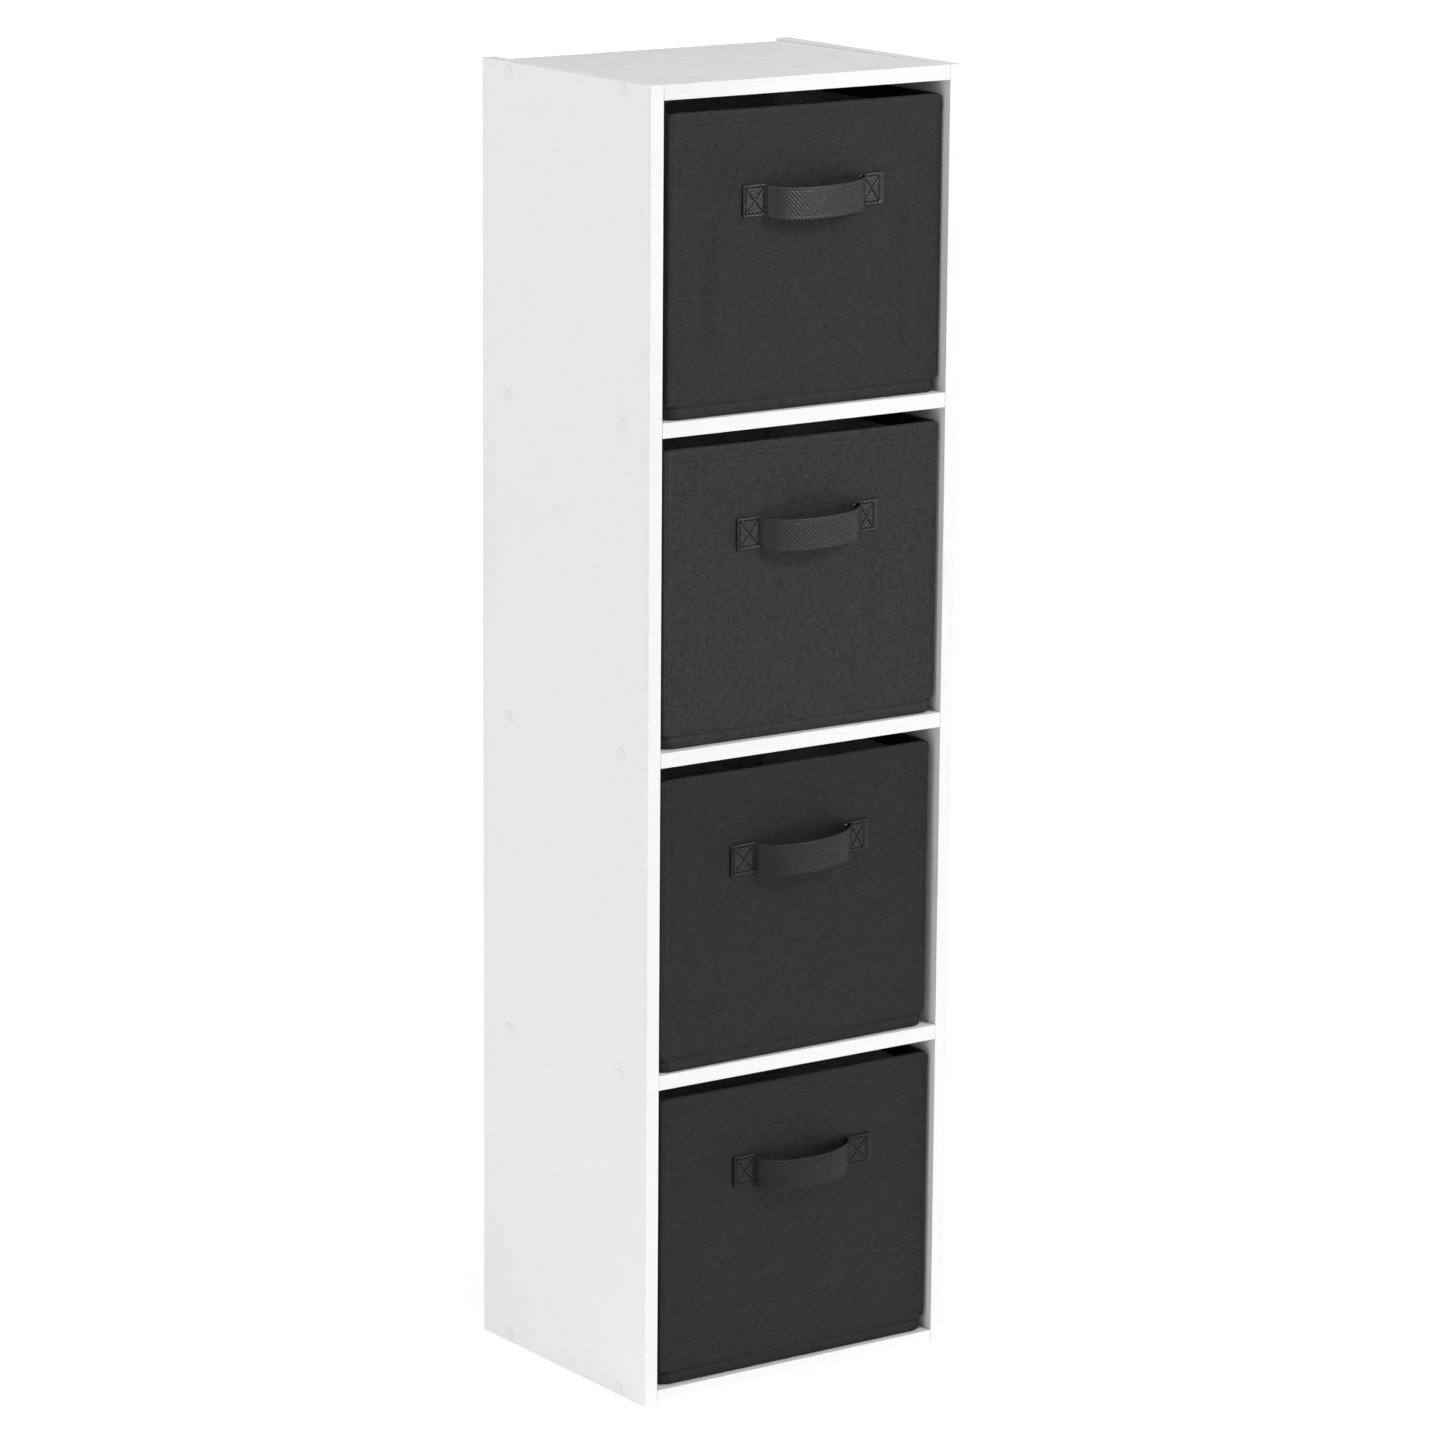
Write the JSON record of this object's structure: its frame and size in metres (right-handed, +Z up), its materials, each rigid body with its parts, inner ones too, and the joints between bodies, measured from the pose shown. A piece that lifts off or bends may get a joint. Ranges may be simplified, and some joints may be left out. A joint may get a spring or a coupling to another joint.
{
  "type": "cube storage unit",
  "caption": "Tall narrow open-backed cubby tower of white boards, each cubby holding a dark foldable fabric bin with a webbing handle.",
  "frame": {"origin": "centre of the cabinet's footprint, on the floor", "axes": "+Z up, +X to the right of someone facing the bins' fronts, -Y out of the front; the pull of every bin is along -Y"},
  "size_m": [0.299, 0.2515, 1.06],
  "materials": {
    "white_melamine": "white melamine-faced particleboard with matching edge banding, satin",
    "zinc_steel": "bright zinc-plated screws",
    "charcoal_fabric": "matt charcoal woven-look fabric, stitched hems",
    "lining_fabric": "matt light grey non-woven lining",
    "stiffener_card": "grey-brown board, sewn inside the walls",
    "base_card": "board wrapped in light grey non-woven fabric",
    "charcoal_webbing": "charcoal twill webbing with box-and-cross stitching"
  },
  "bodies": {
    "cabinet": {"side_panel_left": "white_melamine", "side_panel_right": "white_melamine", "bottom_panel": "white_melamine", "shelf_lower": "white_melamine", "shelf_middle": "white_melamine", "shelf_upper": "white_melamine", "top_panel": "white_melamine", "screw_bottom_left_front": "zinc_steel", "screw_bottom_right_front": "zinc_steel", "screw_bottom_left_rear": "zinc_steel", "screw_bottom_right_rear": "zinc_steel", "screw_lower_left_front": "zinc_steel", "screw_lower_right_front": "zinc_steel", "screw_lower_left_rear": "zinc_steel", "screw_lower_right_rear": "zinc_steel", "screw_middle_left_front": "zinc_steel", "screw_middle_right_front": "zinc_steel", "screw_middle_left_rear": "zinc_steel", "screw_middle_right_rear": "zinc_steel", "screw_upper_left_front": "zinc_steel", "screw_upper_right_front": "zinc_steel", "screw_upper_left_rear": "zinc_steel", "screw_upper_right_rear": "zinc_steel", "screw_top_left_front": "zinc_steel", "screw_top_right_front": "zinc_steel", "screw_top_left_rear": "zinc_steel", "screw_top_right_rear": "zinc_steel"},
    "bin_1": {"bin_1_cover": "charcoal_fabric", "bin_1_lining": "lining_fabric", "bin_1_front_stiffener": "stiffener_card", "bin_1_back_stiffener": "stiffener_card", "bin_1_left_stiffener": "stiffener_card", "bin_1_right_stiffener": "stiffener_card", "bin_1_handle": "charcoal_webbing"},
    "bin_2": {"bin_2_cover": "charcoal_fabric", "bin_2_lining": "lining_fabric", "bin_2_front_stiffener": "stiffener_card", "bin_2_back_stiffener": "stiffener_card", "bin_2_left_stiffener": "stiffener_card", "bin_2_right_stiffener": "stiffener_card", "bin_2_handle": "charcoal_webbing"},
    "bin_3": {"bin_3_cover": "charcoal_fabric", "bin_3_lining": "lining_fabric", "bin_3_front_stiffener": "stiffener_card", "bin_3_back_stiffener": "stiffener_card", "bin_3_left_stiffener": "stiffener_card", "bin_3_right_stiffener": "stiffener_card", "bin_3_handle": "charcoal_webbing"},
    "bin_4": {"bin_4_cover": "charcoal_fabric", "bin_4_lining": "lining_fabric", "bin_4_front_stiffener": "stiffener_card", "bin_4_back_stiffener": "stiffener_card", "bin_4_left_stiffener": "stiffener_card", "bin_4_right_stiffener": "stiffener_card", "bin_4_handle": "charcoal_webbing"},
    "base_board_1": {"bin_1_base_board": "base_card"},
    "base_board_2": {"bin_2_base_board": "base_card"},
    "base_board_3": {"bin_3_base_board": "base_card"},
    "base_board_4": {"bin_4_base_board": "base_card"}
  },
  "joints": [
    {"name": "bin_1_pull", "type": "slide", "parent": "cabinet", "child": "bin_1", "axis": [0, -1, 0], "range_m": [0, 0.24]},
    {"name": "bin_2_pull", "type": "slide", "parent": "cabinet", "child": "bin_2", "axis": [0, -1, 0], "range_m": [0, 0.24]},
    {"name": "bin_3_pull", "type": "slide", "parent": "cabinet", "child": "bin_3", "axis": [0, -1, 0], "range_m": [0, 0.24]},
    {"name": "bin_4_pull", "type": "slide", "parent": "cabinet", "child": "bin_4", "axis": [0, -1, 0], "range_m": [0, 0.24]},
    {"name": "base_board_1_lift", "type": "slide", "parent": "bin_1", "child": "base_board_1", "axis": [0, 0, 1], "range_m": [0, 0.23]},
    {"name": "base_board_2_lift", "type": "slide", "parent": "bin_2", "child": "base_board_2", "axis": [0, 0, 1], "range_m": [0, 0.23]},
    {"name": "base_board_3_lift", "type": "slide", "parent": "bin_3", "child": "base_board_3", "axis": [0, 0, 1], "range_m": [0, 0.23]},
    {"name": "base_board_4_lift", "type": "slide", "parent": "bin_4", "child": "base_board_4", "axis": [0, 0, 1], "range_m": [0, 0.23]}
  ]
}
